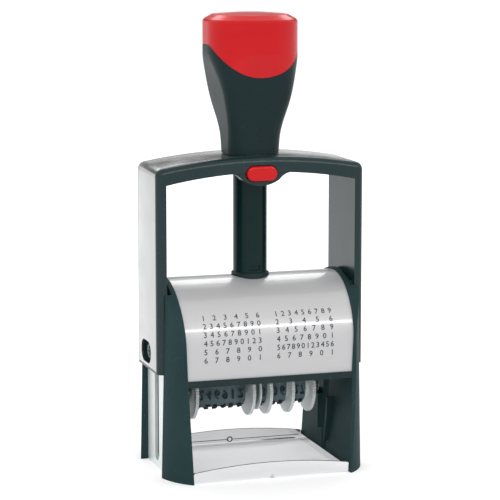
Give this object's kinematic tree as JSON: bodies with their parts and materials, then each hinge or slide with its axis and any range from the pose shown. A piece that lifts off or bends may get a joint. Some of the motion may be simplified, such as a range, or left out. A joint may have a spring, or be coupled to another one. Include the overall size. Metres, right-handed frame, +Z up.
{
  "type": "date and time stamp machine",
  "caption": "Self-inking desk stamp with a sprung bow and grip over a hooded frame; pressing turns a carrier of dated rubber bands from the ink pad down to the paper.",
  "frame": {"origin": "centre of the underside of the base, on the surface that it stands on", "axes": "+X to the object's right as its front is faced, +Y to the back, +Z up along the column"},
  "size_m": [0.08, 0.0576, 0.1704],
  "materials": {
    "black_plastic": "satin black moulding with a faint green-grey cast",
    "grip_black": "satin black grip, slightly soft sheen",
    "red_plastic": "glossy red moulding",
    "grey_plastic": "dark grey moulding",
    "column_black": "black lacquered tube, semi-gloss",
    "silver_sheet": "silver lacquered sheet, satin",
    "band_steel": "fine brushed, brushed along its length",
    "plate_steel": "bright plated sheet",
    "polished_steel": "polished",
    "small_steel": "plain turned or drawn steel",
    "dark_steel": "blackened spring steel",
    "wheel_grey": "light grey moulding with a milled rim",
    "band_rubber": "matt dark grey rubber",
    "pad_felt": "felt soaked with blue-black ink"
  },
  "bodies": {
    "frame": {"base_frame": "polished_steel", "side_panel_right": "black_plastic", "side_panel_left": "black_plastic", "side_plate_right": "plate_steel", "side_plate_left": "plate_steel", "panel_rivets": "small_steel", "frame_bridge": "small_steel", "cover": "silver_sheet", "front_lip": "black_plastic", "rear_rail": "black_plastic", "column_tube": "column_black", "column_collar": "black_plastic", "column_screw": "small_steel", "return_spring": "small_steel", "pad_guide_right": "black_plastic", "pad_guide_left": "black_plastic"},
    "bow": {"bow_frame": "black_plastic", "bow_band": "band_steel", "guide_sleeve": "grey_plastic", "handle_grip": "grip_black", "handle_cap": "red_plastic", "plunger_rod": "small_steel"},
    "lock": {"lock_button": "red_plastic", "lock_tongue": "small_steel"},
    "pad": {"pad_tray": "black_plastic", "ink_pad": "pad_felt"},
    "carrier": {"carrier_frame": "grey_plastic", "print_anvil": "grey_plastic", "axle_pin_right": "small_steel", "axle_pin_left": "small_steel", "axle_clip_right": "dark_steel", "axle_clip_left": "dark_steel", "follower_pins": "small_steel", "wheel_axle": "small_steel", "separator_disc": "wheel_grey", "word_band": "band_rubber", "tens_band": "band_rubber", "units_band": "band_rubber", "month_band": "band_rubber", "year_band": "band_rubber"},
    "word_setting": {"word_wheel": "wheel_grey"},
    "tens_setting": {"tens_wheel": "wheel_grey"},
    "units_setting": {"units_wheel": "wheel_grey"},
    "month_setting": {"month_wheel": "wheel_grey"},
    "year_setting": {"year_wheel": "wheel_grey"}
  },
  "joints": [
    {"name": "press", "type": "slide", "parent": "frame", "child": "bow", "axis": [0, 0, -1], "range_m": [0, 0.035], "stiffness_N_per_m": 300, "springref_m": -0.015, "deforming": ["return_spring"]},
    {"name": "carrier_turn", "type": "hinge", "parent": "bow", "child": "carrier", "pos_m": [0, 0.002, 0.0447], "axis": [1, 0, 0], "range_deg": [0, 180]},
    {"name": "lock_push", "type": "slide", "parent": "bow", "child": "lock", "axis": [0, 1, 0], "range_m": [0, 0.001], "stiffness_N_per_m": 400, "springref_m": -0.001},
    {"name": "pad_draw", "type": "slide", "parent": "frame", "child": "pad", "axis": [0, 1, 0], "range_m": [0, 0.03]},
    {"name": "word_set", "type": "hinge", "parent": "carrier", "child": "word_setting", "pos_m": [-0.02288, 0.002, 0.0277], "axis": [1, 0, 0], "continuous": true},
    {"name": "tens_set", "type": "hinge", "parent": "carrier", "child": "tens_setting", "pos_m": [-0.00059, 0.002, 0.0277], "axis": [1, 0, 0], "continuous": true},
    {"name": "units_set", "type": "hinge", "parent": "carrier", "child": "units_setting", "pos_m": [0.0062, 0.002, 0.0277], "axis": [1, 0, 0], "continuous": true},
    {"name": "month_set", "type": "hinge", "parent": "carrier", "child": "month_setting", "pos_m": [0.01491, 0.002, 0.0277], "axis": [1, 0, 0], "continuous": true},
    {"name": "year_set", "type": "hinge", "parent": "carrier", "child": "year_setting", "pos_m": [0.0232, 0.002, 0.0277], "axis": [1, 0, 0], "continuous": true}
  ],
  "couplings": [
    {"joint": "carrier_turn", "follows": "press", "rad_per_m": 89.76}
  ]
}
